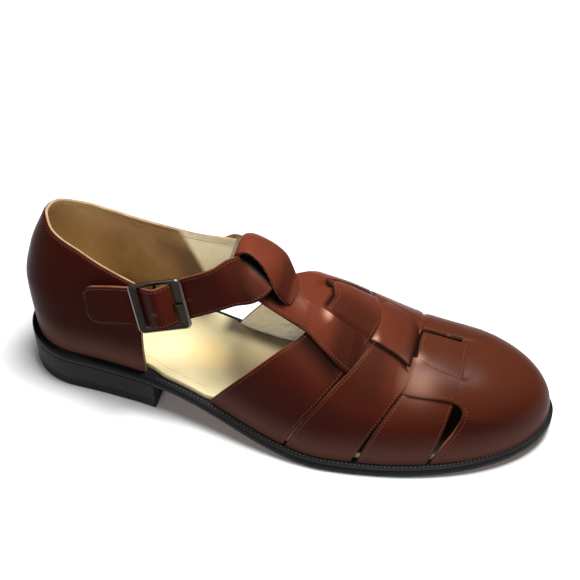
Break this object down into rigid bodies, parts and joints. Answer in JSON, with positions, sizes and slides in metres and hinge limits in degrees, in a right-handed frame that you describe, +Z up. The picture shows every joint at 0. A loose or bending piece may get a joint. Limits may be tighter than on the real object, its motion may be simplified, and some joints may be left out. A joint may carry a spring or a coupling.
{
  "type": "fisherman sandal",
  "caption": "Right-foot woven leather fisherman sandal with a closed toe, crossing straps, an ankle strap with a side buckle, and a low heeled leather sole.",
  "frame": {"origin": "on the floor, under the middle of the shoe's bounding box", "axes": "+X toward the toe, +Y toward the inner side of the foot, +Z up"},
  "size_m": [0.2998, 0.1034, 0.1077],
  "materials": {
    "upper_leather": "smooth, semi-gloss, red-brown",
    "lining": "matt, tan",
    "edge": "raw cut edge, tan",
    "thread": "waxed thread, tan",
    "sole_edge": "waxed, black",
    "sole_leather": "smooth, orange-tan",
    "sock": "soft gloss, gold",
    "heel_rubber": "matt, black",
    "buckle_metal": "dark, brushed"
  },
  "bodies": {
    "root": {"outsole": "sole_leather", "welt": "sole_edge", "heel_block": "sole_edge", "heel_top_rubber": "heel_rubber", "heel_top_leather": "sole_leather", "insole": "sock", "vamp": "upper_leather", "quarter": "upper_leather", "ankle_strap": "upper_leather", "buckle_tab": "upper_leather", "buckle_frame": "buckle_metal", "buckle_prong": "buckle_metal"}
  },
  "joints": []
}
